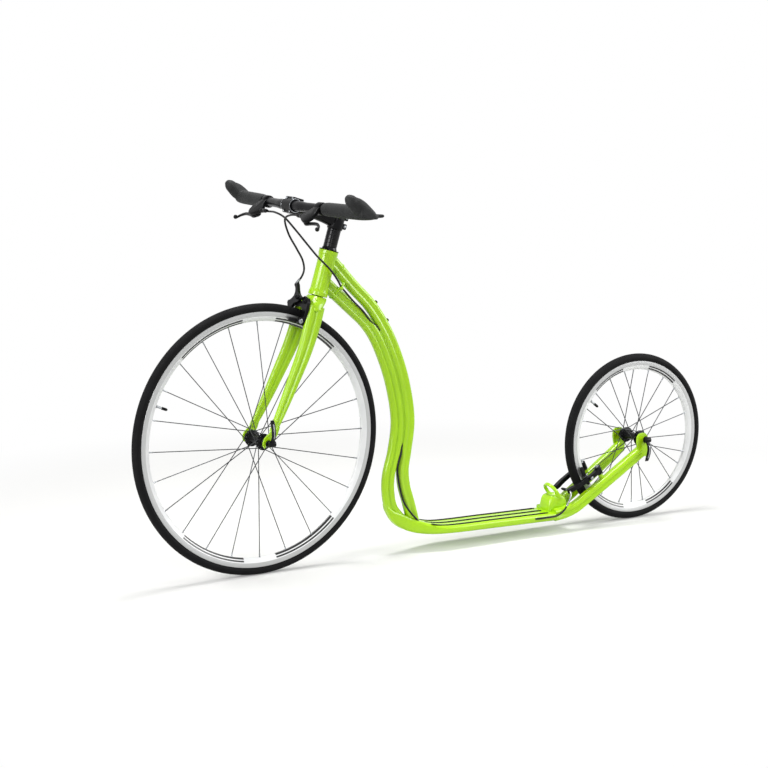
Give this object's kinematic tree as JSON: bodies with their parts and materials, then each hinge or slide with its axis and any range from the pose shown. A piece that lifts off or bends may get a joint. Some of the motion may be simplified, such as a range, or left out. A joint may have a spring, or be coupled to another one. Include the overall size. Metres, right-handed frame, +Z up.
{
  "type": "kick bike",
  "caption": "Footboard scooter with a large front wheel, a smaller rear wheel, twin curved down tubes, threadless steering, winged grips and hand brakes front and rear.",
  "frame": {"origin": "on the ground, halfway along the bike, in its middle plane", "axes": "+X forward, +Y to the rider's left, +Z up"},
  "size_m": [1.724, 0.636, 0.9511],
  "materials": {
    "lime_paint": "gloss lime green paint",
    "black_anodised": "black anodised, satin",
    "bright_steel": "plain bright steel",
    "rim_white": "white rim with a machined brake track",
    "spoke_steel": "dark steel",
    "tyre_rubber": "black, matt",
    "grip_rubber": "black, matt",
    "housing": "black, satin"
  },
  "bodies": {
    "frame": {"head_tube": "lime_paint", "headset_bearing_lower": "bright_steel", "headset_bearing_upper": "bright_steel", "headset_cup_upper": "black_anodised", "upper_tube": "lime_paint", "lower_tube": "lime_paint", "deck": "lime_paint", "rear_bracket": "lime_paint", "rear_stay_left": "lime_paint", "rear_stay_right": "lime_paint", "rear_brake_cable": "housing", "rear_axle": "bright_steel", "rear_skewer": "bright_steel"},
    "steering": {"fork_crown": "lime_paint", "fork_blade_left": "lime_paint", "fork_blade_right": "lime_paint", "headset_top_cover": "black_anodised", "headset_spacers": "black_anodised", "stem": "black_anodised", "stem_faceplate": "black_anodised", "stem_top_cap": "black_anodised", "handlebar": "black_anodised", "grip_left": "grip_rubber", "grip_right": "grip_rubber", "lever_body_left": "black_anodised", "lever_body_right": "black_anodised", "front_brake_bracket": "black_anodised", "front_brake_cable": "housing", "rear_brake_cable_loop": "housing", "front_axle": "bright_steel", "front_skewer": "bright_steel"},
    "front_wheel": {"front_tyre": "tyre_rubber", "front_rim": "rim_white", "front_hub": "black_anodised", "front_spokes_left": "spoke_steel", "front_spokes_right": "spoke_steel", "front_bearing_left": "bright_steel", "front_bearing_right": "bright_steel"},
    "rear_wheel": {"rear_tyre": "tyre_rubber", "rear_rim": "rim_white", "rear_hub": "black_anodised", "rear_spokes_left": "spoke_steel", "rear_spokes_right": "spoke_steel", "rear_bearing_left": "bright_steel", "rear_bearing_right": "bright_steel"},
    "brake_lever_left": {"brake_lever_left": "black_anodised"},
    "brake_lever_right": {"brake_lever_right": "black_anodised"},
    "front_brake_arm_left": {"front_brake_arm_left": "black_anodised", "front_brake_pad_left": "grip_rubber"},
    "front_brake_arm_right": {"front_brake_arm_right": "black_anodised", "front_brake_pad_right": "grip_rubber"},
    "rear_brake_arm_left": {"rear_brake_arm_left": "black_anodised", "rear_brake_pad_left": "grip_rubber", "rear_brake_noodle": "bright_steel"},
    "rear_brake_arm_right": {"rear_brake_arm_right": "black_anodised", "rear_brake_pad_right": "grip_rubber"},
    "front_quick_release": {"front_quick_release_lever": "black_anodised"},
    "rear_quick_release": {"rear_quick_release_lever": "black_anodised"}
  },
  "joints": [
    {"name": "steering", "type": "hinge", "parent": "frame", "child": "steering", "pos_m": [0.3559, 0, 0.6788], "axis": [-0.2924, 0, 0.9563], "range_deg": [-60, 60], "deforming": ["rear_brake_cable_loop"]},
    {"name": "front_wheel_spin", "type": "hinge", "parent": "steering", "child": "front_wheel", "pos_m": [0.526, 0, 0.336], "axis": [0, 1, 0], "continuous": true},
    {"name": "rear_wheel_spin", "type": "hinge", "parent": "frame", "child": "rear_wheel", "pos_m": [-0.634, 0, 0.228], "axis": [0, 1, 0], "continuous": true},
    {"name": "brake_lever_left", "type": "hinge", "parent": "steering", "child": "brake_lever_left", "pos_m": [0.455, 0.12, 0.878], "axis": [0.6112, 0, 0.7915], "range_deg": [0, 22], "stiffness_Nm_per_rad": 0.6, "springref_deg": -11.46},
    {"name": "brake_lever_right", "type": "hinge", "parent": "steering", "child": "brake_lever_right", "pos_m": [0.455, -0.12, 0.878], "axis": [-0.6112, 0, -0.7915], "range_deg": [0, 22], "stiffness_Nm_per_rad": 0.6, "springref_deg": -11.46},
    {"name": "front_brake_arm_right", "type": "hinge", "parent": "steering", "child": "front_brake_arm_right", "pos_m": [0.40676, 0, 0.67866], "axis": [0.9563, 0, 0.2924], "range_deg": [0, 2]},
    {"name": "front_brake_arm_left", "type": "hinge", "parent": "steering", "child": "front_brake_arm_left", "pos_m": [0.40058, 0.024, 0.66946], "axis": [-0.9563, 0, -0.2924], "range_deg": [0, 2]},
    {"name": "rear_brake_arm_right", "type": "hinge", "parent": "frame", "child": "rear_brake_arm_right", "pos_m": [-0.4909, -0.034, 0.15509], "axis": [0.454, 0, 0.891], "range_deg": [0, 2.8]},
    {"name": "rear_brake_arm_left", "type": "hinge", "parent": "frame", "child": "rear_brake_arm_left", "pos_m": [-0.4909, 0.034, 0.15509], "axis": [-0.454, 0, -0.891], "range_deg": [0, 2.8]},
    {"name": "front_quick_release", "type": "hinge", "parent": "steering", "child": "front_quick_release", "pos_m": [0.526, 0.066, 0.336], "axis": [-0.9563, 0, -0.2924], "range_deg": [0, 165]},
    {"name": "rear_quick_release", "type": "hinge", "parent": "frame", "child": "rear_quick_release", "pos_m": [-0.634, 0.066, 0.228], "axis": [1, 0, 0], "range_deg": [0, 165]}
  ],
  "couplings": [
    {"joint": "front_brake_arm_right", "follows": "brake_lever_left", "ratio": 0.09},
    {"joint": "front_brake_arm_left", "follows": "brake_lever_left", "ratio": 0.09},
    {"joint": "rear_brake_arm_right", "follows": "brake_lever_right", "ratio": 0.125},
    {"joint": "rear_brake_arm_left", "follows": "brake_lever_right", "ratio": 0.125}
  ]
}
